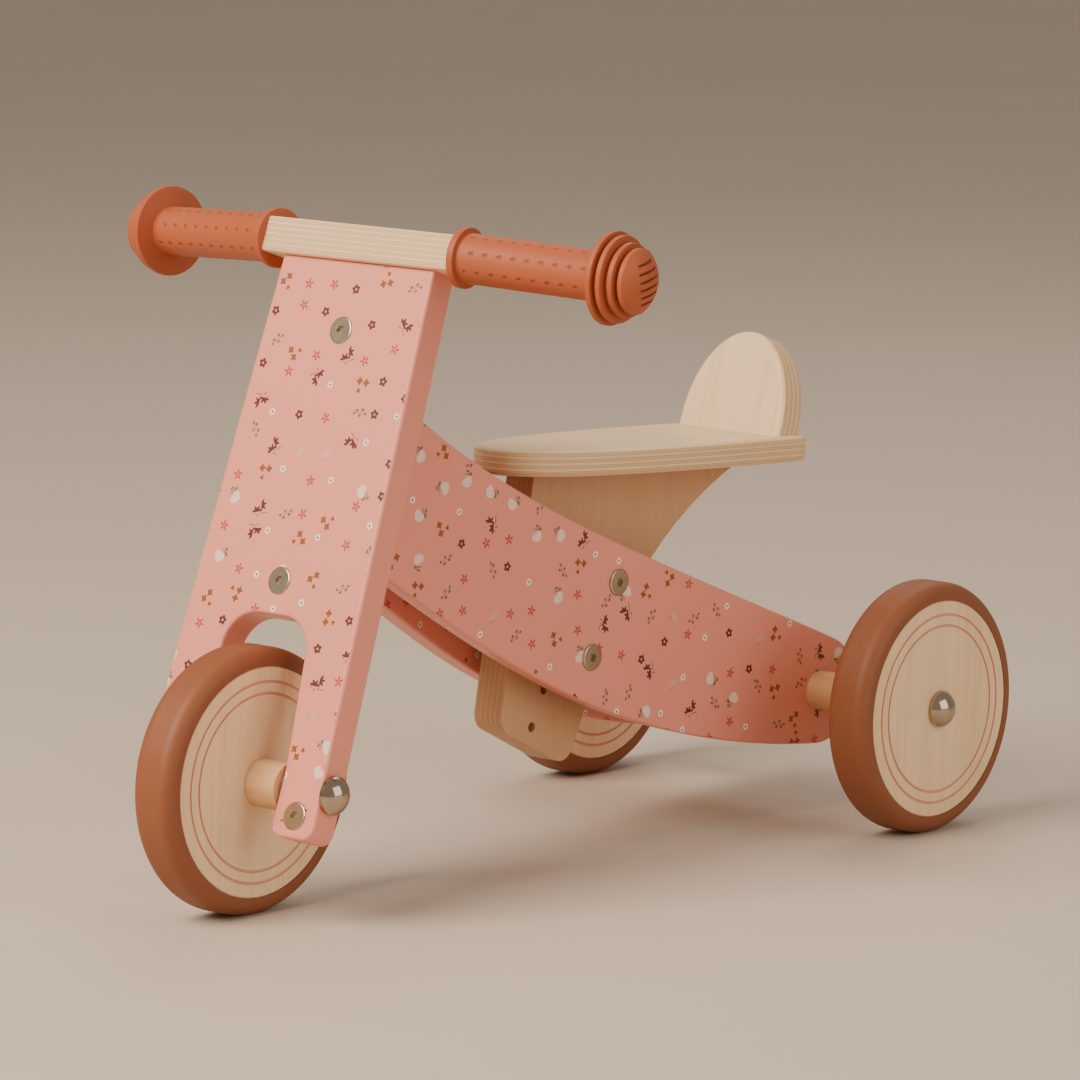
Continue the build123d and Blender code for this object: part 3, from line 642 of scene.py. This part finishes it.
def gripRubber(name, centre, turn):
    finish = Finish(name, **grip["gloss"])
    place = finish.place(centre, turn)
    x, y, z = finish.parts(place)
    row = x.math("ARCTAN2", y, x) / (2 * pi) * grip["dimpleRows"] + 0.5
    shift = row.floor().math("MODULO", abs(row.floor()), 2.0) * 0.5
    column = (z - grip["dimpleStart"]) / grip["dimplePitch"] + shift
    around = (row.fract() - 0.5) * (pi * grip["body"] / grip["dimpleRows"])
    lengthways = (column.fract() - 0.5) * grip["dimplePitch"]
    halfAround, halfAlong = grip["dimpleHalf"]
    narrow = 1 + lengthways / halfAlong * grip["dimpleTaper"]
    reach = ((around / (halfAround * narrow)) ** 2 + (lengthways / halfAlong) ** 2).root()
    onBody = (z > grip["dimplesFrom"]) * (z < grip["length"] - grip["dimplesEnd"])
    dimple = (grip["dimpleRim"] - reach).clamped() * onBody
    cloud = finish.noise(place, grip["cloud"], 3)
    skin = finish.noise(place, grip["skin"], 2)
    colour = finish.blend(cloud * grip["cloudShare"], grip["colour"], grip["bloom"])
    # The dimples are painted darker: painted shade in their hollows
    finish.feed(Base_Color=finish.blend(dimple * grip["dimpleShare"], colour, grip["shade"]))
    finish.rough(cloud, grip)
    finish.bump(skin * grip["skinShare"] - dimple, *grip["relief"])
    return finish


for side, name in ((1, "right"), (-1, "left")):
    sweep = radians(grip["sweep"])
    outward = forkTurn @ Vector((side * cos(sweep), 0, -sin(sweep)))
    upward = forkTurn @ Vector((0, 1, 0))
    turn = Matrix((upward, outward.cross(upward), outward)).transposed()
    centre = onFork(side * grip["barEnd"], grip["level"], grip["ahead"])
    sleeve = drawOut("rubber_grip_" + name)
    rounding = {"width": grip["soften"], "segments": 3, "angle_limit": radians(grip["edgeAngle"])}
    applyModifier(sleeve, "BEVEL", limit_method="ANGLE", **rounding)
    cutter = slotCutter(max(vertex.co.z for vertex in sleeve.data.vertices))
    cutter.rotation_euler = (0, 0, side * radians(grip["slotTurn"]))
    applyModifier(sleeve, "BOOLEAN", object=cutter, operation="DIFFERENCE", solver="EXACT")
    bpy.data.objects.remove(cutter)
    sleeve.matrix_world = Matrix.Translation(centre) @ turn.to_4x4()
    bpy.ops.object.transform_apply(location=True, rotation=True, scale=True)
    bpy.ops.object.shade_smooth_by_angle(angle=radians(grip["smoothAngle"]))
    gripRubber("gripRubber" + name.title(), centre, turn).paint(sleeve)
    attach(sleeve, "fork")
    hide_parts("handlebar_grip_" + name)
    print("grip made:", name, len(sleeve.data.polygons), "faces")


# Studio

bpy.ops.mesh.primitive_circle_add(vertices=96, radius=plaster["radius"], fill_type="NGON")
floorDisc = bpy.context.object
floorDisc.name = "studioFloor"
floorFinish = Finish("paleFloor")
dust = floorFinish.noise(floorFinish.place(), plaster["mottle"], 3)
darker = tuple(plaster["darker"] * c for c in plaster["colour"][:3]) + (1,)
floorFinish.feed(Base_Color=floorFinish.blend(dust, plaster["colour"], darker))
floorFinish.rough(dust, plaster)
floorFinish.paint(floorDisc)
setLamps()
setCamera()

print("scene ready")
